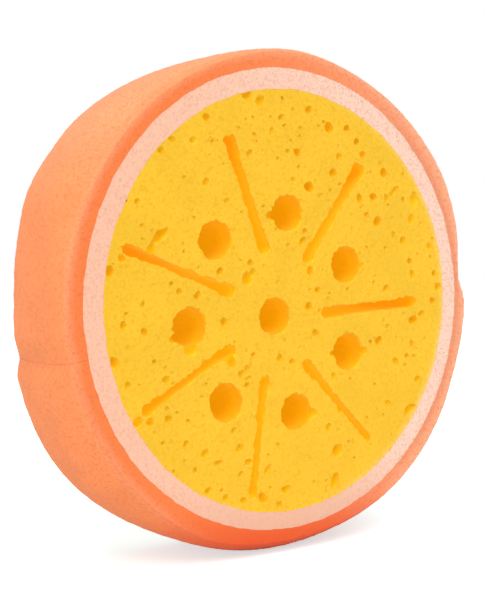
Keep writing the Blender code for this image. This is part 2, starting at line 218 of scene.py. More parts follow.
class FoamColours(bpy.types.PropertyGroup):
    """Colours of the foams."""

    core: colour_setting("Core", "Foam of the core, at its faces", (0.92, 0.545, 0.034))
    core_rim: colour_setting(
        "Core rim", "Foam of the core beside the pale ring, on the right", (0.95, 0.68, 0.22))
    # Darker core foam: its own grain and pits, and painted shade in its pores
    core_grain_and_pore_shade: colour_setting("Core grain and pore shade", "Foam of the core, in its pores", (0.84, 0.42, 0.009))
    # Painted shade, deep orange, on the walls of the holes and slits
    core_cut_shade: colour_setting(
        "Core cut shade", "Foam of the core, on the walls of its holes and slits", (0.90, 0.36, 0.001))
    pore_glow: colour_setting(
        "Pore glow", "Light that comes through the foam into the pores", (0.11, 0.12, 0.001))
    slit_glow: colour_setting(
        "Slit glow", "Light that comes through the foam into the slits", (0.25, 0.24, 0.002))
    slit_end_glow: colour_setting(
        "Slit end glow", "The same light at the outer ends of the upper slits", (0.26, 0.165, 0.001))
    hole_glow: colour_setting(
        "Hole glow", "Light that comes through the foam deep down in the holes", (0.175, 0.178, 0.0))
    pith: colour_setting("Pith", "Foam of the pale ring, on the left", (0.93, 0.535, 0.375))
    pith_pale: colour_setting("Pale pith", "Foam of the pale ring, on the right", (0.95, 0.65, 0.52))
    pith_grain: colour_setting("Pith grain", "Dark grain of the pale ring", (0.84, 0.43, 0.29))
    speck: colour_setting("Speck", "Specks of the pale ring", (0.55, 0.25, 0.18))
    glue: colour_setting(
        "Glue", "Glue between the pale ring and the rind, on the right", (0.75, 0.25, 0.14))
    rind: colour_setting("Rind", "Side of the rind", (0.92, 0.29, 0.108))
    rind_face: colour_setting("Rind face", "Cut faces of the rind", (0.94, 0.227, 0.066))
    rind_grain: colour_setting("Rind grain", "Dark grain and cells of the rind", (0.78, 0.15, 0.04))
    # Paler rind: partly scuffed foam at the edges, partly a painted highlight there and painted light on the
    # top and on the right
    rind_scuff_and_light: colour_setting("Rind scuff and light", "Rind where it is rubbed pale", (0.91, 0.47, 0.29))
    # Painted shade: the rind turns deeper red low down, by the floor
    rind_floor_shade: colour_setting("Rind floor shade", "Rind low down, where it stands", (0.77, 0.085, 0.018))


class StudioSetting(bpy.types.PropertyGroup):
    """The camera and the light."""

    azimuth: FloatProperty(
        name="Azimuth", description="Turn of the camera about the sponge, to the right of its front",
        default=math.radians(-37.2), subtype="ANGLE")
    elevation: FloatProperty(
        name="Elevation", description="Angle of the camera above the level", default=math.radians(2.2),
        subtype="ANGLE")
    distance: length_setting("Distance", "From the camera to the middle of the front face", 300, 50)
    lens: FloatProperty(
        name="Lens", description="Focal length on a 36 mm sensor", default=71.4, min=10, unit="CAMERA")
    overhead_level: light_setting(
        "Overhead level", "Light of the overhead lamp on a surface that faces it", 0.71)
    side_level: light_setting(
        "Side level", "Light of the low lamp on the left on a surface that faces it", 0.32)
    room_level: light_setting("Room level", "Light that comes from all around", 0.46)


# Cut faces: sizes of their slow waves and of their small lumps, and how deep down these fade out
BROAD_SIZE = 7 * MM
FINE_SIZE = 0.9 * MM
FACE_FADE = 3 * MM

# Glue lines: sizes of their waves and of the ripples on these, and how high the ripples are beside the waves
GLUE_WAVE_SIZE = 4 * MM
GLUE_RIPPLE_SIZE = 1.6 * MM
GLUE_RIPPLE_SHARE = 0.5

# Edges that are sharper than this stay creases: on the core and the pale ring, and on the rind
CORE_CREASE = math.radians(48)
RIND_CREASE = math.radians(60)


def wave(place, size, seed):
    """Smooth noise from -1 to 1, with bumps of about the given size. Each seed gives another pattern."""
    return noise.noise(place / size + Vector((seed, seed * 2, seed * 3)))


def face_lift(place, shape):
    """How far a cut face stands proud. All pieces share it, so the faces run on across the glue lines."""
    flat = Vector((place.x, place.y, math.copysign(FACE, place.z)))
    broad = shape.broad_unevenness * wave(flat, BROAD_SIZE, seed=1)
    return broad + shape.fine_unevenness * wave(flat, FINE_SIZE, seed=2)


def slow_waves(waves_mm, angle):
    """Sum of the waves of a table at an angle round the disc, in millimetres."""
    return sum(cosine * math.cos(waves * angle) + sine * math.sin(waves * angle)
               for waves, cosine, sine in waves_mm)


def glue_radius(radius, waves_mm, angle, shape):
    """Radius of a glue line, which leaves a true circle a little. Both foams that meet there follow it."""
    place = Vector((math.cos(angle), math.sin(angle), radius / MM)) * radius
    ripples = GLUE_RIPPLE_SHARE * wave(place, GLUE_RIPPLE_SIZE, seed=4)
    wander = shape.glue_wander * (wave(place, GLUE_WAVE_SIZE, seed=3) + ripples)
    return radius + slow_waves(waves_mm, angle) * MM + wander


def move_to_radius(vertex, angle, radius):
    """Put a point on the circle of a radius about the disc's centre, at an angle."""
    vertex.co.x = radius * math.cos(angle)
    vertex.co.y = radius * math.sin(angle)


def mesh_of(name, solid):
    """A mesh with the shape of a bmesh, which is then freed."""
    mesh = bpy.data.meshes.new(name)
    solid.to_mesh(mesh)
    solid.free()
    return mesh


def new_object(name, data):
    """An object in the scene that shows a mesh, a lamp or a camera."""
    made = bpy.data.objects.new(name, data)
    bpy.context.scene.collection.objects.link(made)
    return made


def add_piece(name, mesh, node, material):
    """Put a finished mesh in the scene: it stands for its CAD node and rides on the one body."""
    piece = new_object(name, mesh)
    mesh.materials.append(material)
    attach(piece, "root")
    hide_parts(node)


def finish_mesh(name, solid, crease):
    """Turn a bmesh from the disc frame into a mesh in its place, shaded smooth but for its creases."""
    bmesh.ops.transform(solid, matrix=DISC_TO_WORLD, verts=solid.verts)
    bmesh.ops.recalc_face_normals(solid, faces=solid.faces)
    mesh = mesh_of(name, solid)
    mesh.shade_smooth()
    mesh.set_sharp_from_angle(angle=crease)
    return mesh


# Cutters run this far past the faces
OVERRUN = 2 * MM

# Depths under a face at which a hole's wall has a ring of points, and the step between the rings further in
RIM_DEPTHS = (0.0, 0.15 * MM, 0.4 * MM, 0.9 * MM)
WALL_STEP = 1.5 * MM

# A cut rim opens this far, over this depth, and is torn this much more than the wall under it
RIM_FLARE = 0.12 * MM
RIM_DEPTH = 0.8 * MM
RIM_TEAR = 0.9

# Torn walls: size of the torn cells and of the lumps under them, and how high the lumps are beside the cells
TEAR_SIZE = 1 * MM
LUMP_SIZE = 4 * MM
LUMP_SHARE = 0.6

# Corners of the outlines of holes and slits
HOLE_SEGMENTS = 72
SLIT_SEGMENTS = 128

# Slits widen from the waist by these powers of the way along, and the hook bends only their inner ends
OUTER_FLARE_POWER = 2.5
INNER_FLARE_POWER = 3
HOOK_POWER = 8


def wall_levels():
    """Heights of the rings of a cutter, from past the front to past the back."""
    front = [FACE + OVERRUN] + [FACE - depth for depth in RIM_DEPTHS]
    inner_top = front[-1]
    count = round(2 * inner_top / WALL_STEP)
    middle = [inner_top * (1 - 2 * step / count) for step in range(1, count)]
    return front + middle + [-level for level in reversed(front)]


def carry_through(outline):
    """A closed solid whose flat outline, a list of vectors, is carried through the whole slab."""
    solid = bmesh.new()
    bmesh.ops.create_circle(solid, cap_ends=True, radius=1, segments=len(outline))
    levels = wall_levels()
    ring = list(solid.verts)
    for vertex, point in zip(ring, outline):
        vertex.co = (point.x, point.y, levels[0])
    edges = list(solid.edges)
    for above, level in zip(levels, levels[1:]):
        made = bmesh.ops.extrude_edge_only(solid, edges=edges)["geom"]
        edges = [part for part in made if isinstance(part, bmesh.types.BMEdge) and part.is_boundary]
        low = [part for part in made if isinstance(part, bmesh.types.BMVert)]
        bmesh.ops.translate(solid, verts=low, vec=(0, 0, level - above))
    bmesh.ops.contextual_create(solid, geom=edges)
    bmesh.ops.recalc_face_normals(solid, faces=solid.faces)
    return solid


def roughen_walls(solid, shape):
    """Tear the walls of a cutter: lumps all over, and a rim that opens at both faces."""
    solid.normal_update()
    moves = []
    for vertex in solid.verts:
        outward = Vector((vertex.normal.x, vertex.normal.y, 0)).normalized()
        depth = max(0, FACE - abs(vertex.co.z))
        near_rim = max(0, 1 - depth / RIM_DEPTH)
        torn = wave(vertex.co, TEAR_SIZE, seed=5) * (1 + RIM_TEAR * near_rim)
        torn += LUMP_SHARE * wave(vertex.co, LUMP_SIZE, seed=6)
        moves.append((vertex, outward * (RIM_FLARE * near_rim ** 2 + shape.wall_raggedness * torn)))
    for vertex, move in moves:
        vertex.co += move


def hole_cutter(right, up, radius, shape):
    """A punch for one round hole."""
    centre = Vector((right, up, 0)) * MM
    turns = [math.tau * step / HOLE_SEGMENTS for step in range(HOLE_SEGMENTS)]
    solid = carry_through([centre + radius * MM * Vector((math.cos(turn), math.sin(turn), 0))
                           for turn in turns])
    roughen_walls(solid, shape)
    return solid


def round_end(distance, half_width):
    """Share of the half width that a round end has at a distance from its tip."""
    return math.sqrt(1 - max(0, 1 - distance / half_width) ** 2)


def slit_cutter(outer, inner, widths, hook, shape):
    """A knife for one slit: a long outline with round ends that draws in to its waist."""
    outer = Vector((*outer, 0)) * MM
    inner = Vector((*inner, 0)) * MM
    outer_width, waist, inner_width = (width * MM for width in widths)
    along = inner - outer
    across = Vector((-along.y, along.x, 0)).normalized()
    outline = []
    for step in range(SLIT_SEGMENTS):
        turn = math.tau * step / SLIT_SEGMENTS
        share = (1 - math.cos(turn)) / 2
        width = waist + (outer_width - waist) * (1 - share) ** OUTER_FLARE_POWER
        width += (inner_width - waist) * share ** INNER_FLARE_POWER
        half = width / 2
        half *= round_end(share * along.length, outer_width / 2)
        half *= round_end((1 - share) * along.length, inner_width / 2)
        sideways = hook * MM * share ** HOOK_POWER
        outline.append(outer + along * share + across * (math.copysign(half, math.sin(turn)) - sideways))
    solid = carry_through(outline)
    roughen_walls(solid, shape)
    return solid


# A pore's pebble, as shares of its radius: how lumpy it is, and the least and the most of how far its middle
# lies under the face, how deep it goes and how long it is. Over this radius it is a finer ball, and its lumps
# are drawn from seeds up to this one.
PORE_LUMP = 0.32
PORE_SINK = (-0.05, 0.3)
PORE_DEEPEN = (0.8, 1.1)
PORE_STRETCH = (1.0, 1.35)
FINE_PORE_RADIUS = 0.75 * MM
PORE_SEEDS = 50

# Scattered small pores are shallower: their middle lies over the face. A power over 1 makes more of them
# small.
SMALL_PORE_RADIUS = (0.3 * MM, 0.75 * MM)
SMALL_PORE_SINK = (-0.6, -0.1)
SMALL_PORE_POWER = 1.5

# The back has the front's pores, turned about the punched pattern's middle by three of its seven repeats
PATTERN_MIDDLE = Vector((-4.4, -3.6, 0)) * MM
BACK_TURN = 3 * math.tau / 7


class Pebble:
    """One pore before it is cut: its place on a face, its size and how it is stretched."""

    def __init__(self, right, up, radius, side, sinks, draws, stretch=None, tilt=None):
        self.radius = radius
        self.stretch = stretch or draws.uniform(*PORE_STRETCH)
        self.tilt = tilt if tilt is not None else draws.uniform(0, math.pi)
        self.deepen = draws.uniform(*PORE_DEEPEN)
        self.seed = draws.uniform(0, PORE_SEEDS)
        self.place = Vector((right, up, side * (FACE - draws.uniform(*sinks) * radius)))
        self.reach = radius * max(self.stretch, self.deepen) * (1 + PORE_LUMP)

    def clear_of(self, other):
        """Whether the two pores are sure not to touch."""
        return (self.place - other.place).length > self.reach + other.reach

    def add_to(self, solid):
        """Add a lumpy, stretched ball to the cutter."""
        stretch = Matrix.Diagonal((self.stretch, 1, self.deepen, 1))
        matrix = Matrix.Translation(self.place) @ Matrix.Rotation(self.tilt, 4, "Z") @ stretch
        detail = 2 if self.radius > FINE_PORE_RADIUS else 1
        made = bmesh.ops.create_icosphere(solid, subdivisions=detail, radius=self.radius, matrix=matrix)
        for vertex in made["verts"]:
            outward = vertex.co - self.place
            vertex.co += outward * PORE_LUMP * wave(outward, self.radius, self.seed)


def turned_about_pattern(right, up):
    """A place of the front's pores, carried to the back."""
    place = Vector((right, up, 0)) * MM - PATTERN_MIDDLE
    return PATTERN_MIDDLE + Matrix.Rotation(BACK_TURN, 3, "Z") @ place


def face_pebbles(side, shape, draws):
    """Every pore of one face: those that are seen one by one, then scattered small ones."""
    pebbles = []
    listed = [(right, up, radius, None, None) for right, up, radius in ROUND_PORES_MM]
    listed += [(right, up, radius, stretch, math.radians(tilt))
               for right, up, radius, stretch, tilt in LONG_PORES_MM]
    for right, up, radius, stretch, tilt in listed:
        place = Vector((right, up, 0)) * MM if side > 0 else turned_about_pattern(right, up)
        if place.length < CORE_RADIUS:
            pebbles.append(Pebble(place.x, place.y, radius * MM, side, PORE_SINK, draws, stretch, tilt))
    smallest, largest = SMALL_PORE_RADIUS
    for _ in range(shape.small_pores):
        distance = CORE_RADIUS * math.sqrt(draws.random())
        turn = draws.uniform(0, math.tau)
        radius = smallest + (largest - smallest) * draws.random() ** SMALL_PORE_POWER
        pebbles.append(Pebble(distance * math.cos(turn), distance * math.sin(turn), radius, side,
                              SMALL_PORE_SINK, draws))
    return pebbles


def pore_batches(pebbles):
    """Share the pores out so that none touches another of its batch, which a clean cut needs."""
    batches = []
    for pebble in pebbles:
        for batch in batches:
            if all(pebble.clear_of(other) for other in batch):
                batch.append(pebble)
                break
        else:
            batches.append([pebble])
    return batches


def carve(body, solid, operation="DIFFERENCE"):
    """Cut the body's mesh with a solid, or keep what both share."""
    tool = new_object("tool", mesh_of("tool", solid))
    cut = body.modifiers.new("Cut", "BOOLEAN")
    cut.operation = operation
    cut.object = tool
    cut.solver = "MANIFOLD"
    depsgraph = bpy.context.evaluated_depsgraph_get()
    carved = bpy.data.meshes.new_from_object(body.evaluated_get(depsgraph))
    body.modifiers.clear()
    body.data = carved
    bpy.data.objects.remove(tool, do_unlink=True)


# The core: corners of its outline, how far the points of its faces are shifted as a share of their pitch,
# and the seed of all its random draws
CORE_SEGMENTS = 480
POINT_SHIFT = 0.3
CORE_SEED = 11


def slab_blank(shape, draws):
    """A square slab with fine points over both its faces, shifted a little so that no grid shows."""
    reach = CORE_RADIUS + 2 * shape.face_pitch
    count = round(2 * reach / shape.face_pitch)
    blank = bmesh.new()
    bmesh.ops.create_grid(blank, x_segments=count, y_segments=count, size=reach)
    for vertex in blank.verts:
        if not vertex.is_boundary:
            vertex.co.x += shape.face_pitch * draws.uniform(-POINT_SHIFT, POINT_SHIFT)
            vertex.co.y += shape.face_pitch * draws.uniform(-POINT_SHIFT, POINT_SHIFT)
    bmesh.ops.triangulate(blank, faces=blank.faces)
    made = bmesh.ops.extrude_face_region(blank, geom=blank.faces[:])["geom"]
    far = [part for part in made if isinstance(part, bmesh.types.BMVert)]
    near = [vertex for vertex in blank.verts if vertex not in set(far)]
    bmesh.ops.translate(blank, verts=far, vec=(0, 0, FACE))
    bmesh.ops.translate(blank, verts=near, vec=(0, 0, -FACE))
    bmesh.ops.recalc_face_normals(blank, faces=blank.faces)
    return blank


def core_disc(shape):
    """The core's outline: a cylinder whose radius follows the glue line."""
    disc = bmesh.new()
    bmesh.ops.create_cone(disc, cap_ends=True, segments=CORE_SEGMENTS, radius1=1, radius2=1,
                          depth=2 * (FACE + OVERRUN))
    for vertex in disc.verts:
        angle = math.atan2(vertex.co.y, vertex.co.x)
        move_to_radius(vertex, angle, glue_radius(CORE_RADIUS, CORE_WAVES_MM, angle, shape))
    return disc


def settle_faces(solid, shape):
    """Give a cut foam its uneven faces. Depth fades the lift, so that the inside stays as it was cut."""
    for vertex in solid.verts:
        depth = FACE - abs(vertex.co.z)
        near_face = max(0, 1 - depth / FACE_FADE)
        vertex.co.z += math.copysign(face_lift(vertex.co, shape) * near_face, vertex.co.z)


# Points this near a hole or a slit belong to it
CUT_REACH = 0.8 * MM


def from_slit(place, outer, inner):
    """How far a place on the face is from the middle line of a slit."""
    start = Vector(outer) * MM
    along = Vector(inner) * MM - start
    share = min(1, max(0, (place - start).dot(along) / along.length_squared))
    return (place - start - along * share).length


def mark_cuts(solid):
    """Note which points belong to the punched holes and which to the slits."""
    in_hole = solid.verts.layers.float.new("hole")
    in_slit = solid.verts.layers.float.new("slit")
    for vertex in solid.verts:
        place = vertex.co.xy
        vertex[in_hole] = any((place - Vector((right, up)) * MM).length < radius * MM + CUT_REACH
                              for right, up, radius in HOLES_MM)
        vertex[in_slit] = any(from_slit(place, outer, inner) < max(widths) / 2 * MM + CUT_REACH
                              for outer, inner, widths, _ in SLITS_MM)


class SPONGE_OT_core(bpy.types.Operator):
    """Model the coarse-pored core, with its punched holes, slits and open pores"""

    bl_idname = "sponge.core"
    bl_label = "Core"

    def execute(self, context):
        shape = context.scene.foam_shape
        draws = random.Random(CORE_SEED)
        body = new_object("core_blank", mesh_of("core_blank", slab_blank(shape, draws)))
        carve(body, core_disc(shape), "INTERSECT")
        for right, up, radius in HOLES_MM:
            carve(body, hole_cutter(right, up, radius, shape))
        for outer, inner, widths, hook in SLITS_MM:
            carve(body, slit_cutter(outer, inner, widths, hook, shape))
        pebbles = face_pebbles(1, shape, draws) + face_pebbles(-1, shape, draws)
        for batch in pore_batches(pebbles):
            solid = bmesh.new()
            for pebble in batch:
                pebble.add_to(solid)
            carve(body, solid)
        cut = bmesh.new()
        cut.from_mesh(body.data)
        bpy.data.objects.remove(body, do_unlink=True)
        bmesh.ops.triangulate(cut, faces=cut.faces)
        bmesh.ops.remove_doubles(cut, verts=cut.verts, dist=GLUE_LINE / 2)
        mark_cuts(cut)
        settle_faces(cut, shape)
        mesh = finish_mesh("core_foam", cut, CORE_CREASE)
        add_piece("core_foam", mesh, "core", core_material(context.scene.foam_colours))
        return {"FINISHED"}


# Walls that are glued to another foam have their points this many times as far apart as the rest
HIDDEN_SPARSER = 6


def ring_loop(points):
    """A closed loop of edges in the XZ plane, ready to be spun about Z."""
    solid = bmesh.new()
    bmesh.ops.create_circle(solid, radius=1, segments=len(points))
    for vertex, point in zip(solid.verts, points):
        vertex.co = (point[0], 0, point[1])
    return solid


def spaced(start, end, pitch):
    """Even steps from start towards end, without the end itself."""
    count = max(1, round(abs(end - start) / pitch))
    return [start + (end - start) * step / count for step in range(count)]


class SPONGE_OT_pith_ring(bpy.types.Operator):
    """Model the pale ring between the core and the rind"""

    bl_idname = "sponge.pith_ring"
    bl_label = "Pale ring"

    def execute(self, context):
        shape = context.scene.foam_shape
        pitch = shape.rim_pitch
        inner, outer = CORE_RADIUS, PITH_RADIUS
        section = [(radius, FACE) for radius in spaced(inner, outer, pitch)]
        section += [(outer, height) for height in spaced(FACE, -FACE, HIDDEN_SPARSER * pitch)]
        section += [(radius, -FACE) for radius in spaced(outer, inner, pitch)]
        section += [(inner, height) for height in spaced(-FACE, FACE, HIDDEN_SPARSER * pitch)]
        ring = ring_loop(section)
        steps = round(math.tau * outer / pitch)
        bmesh.ops.spin(ring, geom=ring.verts[:] + ring.edges[:], cent=(0, 0, 0), axis=(0, 0, 1),
                       angle=math.tau, steps=steps, use_merge=True)
        width = outer - inner
        for vertex in ring.verts:
            angle = math.atan2(vertex.co.y, vertex.co.x)
            share = (vertex.co.xy.length - inner) / width
            wandered_inner = glue_radius(inner, CORE_WAVES_MM, angle, shape) + GLUE_LINE
            wandered_outer = glue_radius(outer, RIND_WAVES_MM, angle, shape)
            move_to_radius(vertex, angle, wandered_inner + share * (wandered_outer - wandered_inner))
        settle_faces(ring, shape)
        mesh = finish_mesh("pith_foam", ring, CORE_CREASE)
        add_piece("pith_foam", mesh, "pith_ring", pith_material(context.scene.foam_colours))
        return {"FINISHED"}


# The rind's side draws in towards its faces by this power of the way there. Edges that turn by more than this
# angle are rounded, in this many steps.
BARREL_POWER = 2.6
LONG_EDGE_TURN = math.radians(40)
EDGE_SEGMENTS = 3

# How far behind the front face the bulges of the side have taken over from those of the front edge
BEHIND_REACH = 0.8 * FACE

# How far from its edges the rind is painted pale: partly scuffed foam, partly a painted highlight along the
# edges
SCUFF_AND_HIGHLIGHT_REACH = 1.9 * MM

# Torn cells that make the rim fuzzy: their size, and how high those of half that size are beside them
FUZZ_SIZE = 1.4 * MM
FINE_FUZZ_SHARE = 0.5

# How far along the rim each hoop is drawn in at its joints
UPPER_LEFT_REACH = 3.6 * MM
LOWER_LEFT_REACH = 2.8 * MM
UPPER_RIGHT_REACH = 14 * MM
LOWER_RIGHT_REACH = 3.6 * MM


def smooth_share(value):
    """0 below 0, 1 above 1, and a smooth ramp between."""
    value = min(1, max(0, value))
    return value * value * (3 - 2 * value)


def between(angle, other):
    """The angle between two directions, from 0 to half a turn."""
    return abs(math.remainder(angle - other, math.tau))


def bulge(bulges_mm, angle):
    """Sum of the bulges of a table at an angle round the disc, in millimetres."""
    return sum(rise * math.exp(-(between(angle, math.radians(middle)) / math.radians(reach)) ** 2)
               for middle, reach, rise in bulges_mm)


def rim_wave(angle, height):
    """How far the rim stands out of a true barrel: at its front edge, and on its side behind that."""
    front = slow_waves(FRONT_WAVES_MM, angle) + bulge(FRONT_BULGES_MM, angle)
    side = bulge(SIDE_BULGES_MM, angle)
    behind = smooth_share((FACE - height) / BEHIND_REACH)
    return (front + (side - front) * behind) * MM


class Hoop:
    """One half hoop before it is bent: its sizes and the ends that are drawn in."""

    def __init__(self, radius, front_draw, start, end, dips, shape):
        self.radius = radius
        self.front_draw = front_draw
        self.start = start
        self.end = end
        self.dips = dips
        self.shape = shape

    def side_radius(self, height):
        """Radius of the barrel shaped side."""
        draw = self.front_draw if height > 0 else self.shape.back_draw
        return self.radius - draw * abs(height / FACE) ** BARREL_POWER

    def section(self):
        """Flat inside and on both faces, barrel shaped outside."""
        pitch = self.shape.rim_pitch
        points = [(radius, FACE) for radius in spaced(PITH_RADIUS, self.side_radius(FACE), pitch)]
        points += [(self.side_radius(height), height) for height in spaced(FACE, -FACE, pitch)]
        points += [(radius, -FACE) for radius in spaced(self.side_radius(-FACE), PITH_RADIUS, pitch)]
        points += [(PITH_RADIUS, height) for height in spaced(-FACE, FACE, HIDDEN_SPARSER * pitch)]
        return points

    def spin(self):
        """Spin the section from one joint to the other and close both ends."""
        solid = ring_loop(self.section())
        to_start = Matrix.Rotation(self.start, 3, "Z")
        bmesh.ops.rotate(solid, verts=solid.verts, cent=(0, 0, 0), matrix=to_start)
        bmesh.ops.contextual_create(solid, geom=solid.edges[:])
        turn = self.end - self.start
        steps = round(self.radius * turn / self.shape.rim_pitch)
        bmesh.ops.spin(solid, geom=solid.verts[:] + solid.edges[:], cent=(0, 0, 0), axis=(0, 0, 1),
                       angle=turn, steps=steps, use_merge=False)
        far = [edge for edge in solid.edges if edge.is_boundary]
        bmesh.ops.contextual_create(solid, geom=far)
        bmesh.ops.recalc_face_normals(solid, faces=solid.faces)
        return solid

    def soften_edges(self, solid):
        """Round the two long outer edges."""
        inside = (PITH_RADIUS + self.side_radius(FACE)) / 2
        long_edges = [edge for edge in solid.edges
                      if edge.calc_face_angle(0) > LONG_EDGE_TURN
                      and all(vertex.co.xy.length > inside for vertex in edge.verts)
                      and abs(edge.verts[0].co.z - edge.verts[1].co.z) < GLUE_LINE]
        bmesh.ops.bevel(solid, geom=long_edges, offset=self.shape.edge_softness, offset_type="OFFSET",
                        affect="EDGES", segments=EDGE_SEGMENTS, profile=0.5, material=-1,
                        clamp_overlap=True)

    def scuff_and_highlight(self, place):
        """How pale the foam is painted, for scuffing and a painted highlight: fully at its long edges and not
        at all past their reach.
        """
        edge_radius = self.side_radius(math.copysign(FACE, place.z))
        from_edge = math.hypot(place.xy.length - edge_radius, FACE - abs(place.z))
        return smooth_share(1 - from_edge / SCUFF_AND_HIGHLIGHT_REACH)

    def dip(self, place, angle):
        """How far the ends are drawn in. A dip has a joint, a middle and a front depth, and a reach."""
        frontness = max(0, place.z / FACE) ** BARREL_POWER
        return sum((middle + (front - middle) * frontness)
                   * math.exp(-(between(angle, joint) * self.radius / reach) ** 2)
                   for joint, middle, front, reach in self.dips)

    def outer_shift(self, place, angle):
        """How far a point of the outside moves out: waves, drawn-in ends and fuzz."""
        fuzz = wave(place, FUZZ_SIZE, seed=7) + FINE_FUZZ_SHARE * wave(place, FUZZ_SIZE / 2, seed=8)
        return rim_wave(angle, place.z) - self.dip(place, angle) + self.shape.rim_fuzz * fuzz

    def bend(self, solid):
        """Bend the true hoop into the real one, and note how much each point is painted pale, for scuffing
        and a painted highlight.
        """
        edge_scuff_and_highlight = solid.verts.layers.float.new("edge_scuff_and_highlight")
        for vertex in solid.verts:
            place = vertex.co.copy()
            angle = math.atan2(place.y, place.x)
            radius = place.xy.length
            outward = (radius - PITH_RADIUS) / (self.side_radius(place.z) - PITH_RADIUS)
            vertex[edge_scuff_and_highlight] = self.scuff_and_highlight(place)
            inner_radius = glue_radius(PITH_RADIUS, RIND_WAVES_MM, angle, self.shape) + GLUE_LINE
            inner_shift = inner_radius - PITH_RADIUS
            radius += inner_shift + outward * (self.outer_shift(place, angle) - inner_shift)
            move_to_radius(vertex, angle, radius)
            vertex.co.y = max(vertex.co.y, -FLOOR_DROP)
        settle_faces(solid, self.shape)


class SPONGE_OT_rind(bpy.types.Operator):
    """Model the two half hoops of the rind"""

    bl_idname = "sponge.rind"
    bl_label = "Rind"

    def execute(self, context):
        shape = context.scene.foam_shape
        material = rind_material(context.scene.foam_colours)
        gap = GLUE_LINE / PITH_RADIUS
        upper_dips = ((LEFT_JOINT, shape.upper_left_dip, shape.upper_left_dip, UPPER_LEFT_REACH),
                      (RIGHT_JOINT, shape.upper_right_dip, shape.upper_right_dip, UPPER_RIGHT_REACH))
        # At the left joint the lower hoop's front edge keeps level with the upper hoop's
        level_front = shape.lower_left_dip - (shape.lower_front_draw - shape.upper_front_draw)
        lower_dips = ((LEFT_JOINT, shape.lower_left_dip, level_front, LOWER_LEFT_REACH),
                      (RIGHT_JOINT, shape.lower_right_dip, shape.lower_right_dip, LOWER_RIGHT_REACH))
        hoops = {
            "rind_upper": Hoop(UPPER_RADIUS, shape.upper_front_draw, RIGHT_JOINT + gap, LEFT_JOINT - gap,
                               upper_dips, shape),
            "rind_lower": Hoop(LOWER_RADIUS, shape.lower_front_draw, LEFT_JOINT + gap,
                               RIGHT_JOINT - gap + math.tau, lower_dips, shape),
        }
        for node, hoop in hoops.items():
            solid = hoop.spin()
            hoop.soften_edges(solid)
            hoop.bend(solid)
            name = node + "_foam"
            add_piece(name, finish_mesh(name, solid, RIND_CREASE), node, material)
        return {"FINISHED"}


class Wire:
    """A number or a colour inside a material. Arithmetic on it adds nodes to the material."""

    def __init__(self, recipe, socket):
        self.recipe = recipe
        self.socket = socket

    def beside(self, name):
        """Another output of the same node."""
        return Wire(self.recipe, self.socket.node.outputs[name])

    def math(self, operation, first, second=0.0):
        """The result of a Math node."""
        return self.recipe.add("ShaderNodeMath", {0: first, 1: second}, operation=operation)

    def __add__(self, other):
        return self.math("ADD", self, other)

    def __sub__(self, other):
        return self.math("SUBTRACT", self, other)

    def __rsub__(self, other):
        return self.math("SUBTRACT", other, self)

    def __mul__(self, other):
        return self.math("MULTIPLY", self, other)

    def __abs__(self):
        return self.math("ABSOLUTE", self)

    def ramp(self, low, high):
        """0 where the number is below low, 1 above high, and a smooth ramp between."""
        inputs = {"Value": self, "From Min": low, "From Max": high}
        return self.recipe.add("ShaderNodeMapRange", inputs, interpolation_type="SMOOTHSTEP")

    def ramp_mm(self, low, high):
        """The same for a length, between two lengths in millimetres."""
        return self.ramp(low * MM, high * MM)


class Recipe:
    """The nodes of one material, or of the background."""

    def __init__(self, owner):
        owner.use_nodes = True
        self.tree = owner.node_tree

    def add(self, kind, inputs=None, output=0, **settings):
        """Add a node: its settings first, then the values or wires of its sockets."""
        node = self.tree.nodes.new(kind)
        for name, value in settings.items():
            setattr(node, name, value)
        self.fill(node, inputs or {})
        return Wire(self, node.outputs[output])

    def fill(self, node, inputs):
        """Give a node's sockets their values or wires. A colour gets its alpha here."""
        for name, value in inputs.items():
            socket = node.inputs[name]
            if isinstance(value, Wire):
                self.tree.links.new(value.socket, socket)
            elif socket.type == "RGBA":
                socket.default_value = (*value, 1)
            else:
                socket.default_value = value


# Every foam's surface: how rough it is, how much it shines, how wide its sheen spreads, how strong its relief
# is, and between which values of the noise its slow patches turn paler
FOAM_ROUGHNESS = 0.95
FOAM_SHINE = 0.1
SHEEN_ROUGHNESS = 0.5
RELIEF_STRENGTH = 0.7
PATCH_TURN = (0.35, 0.65)


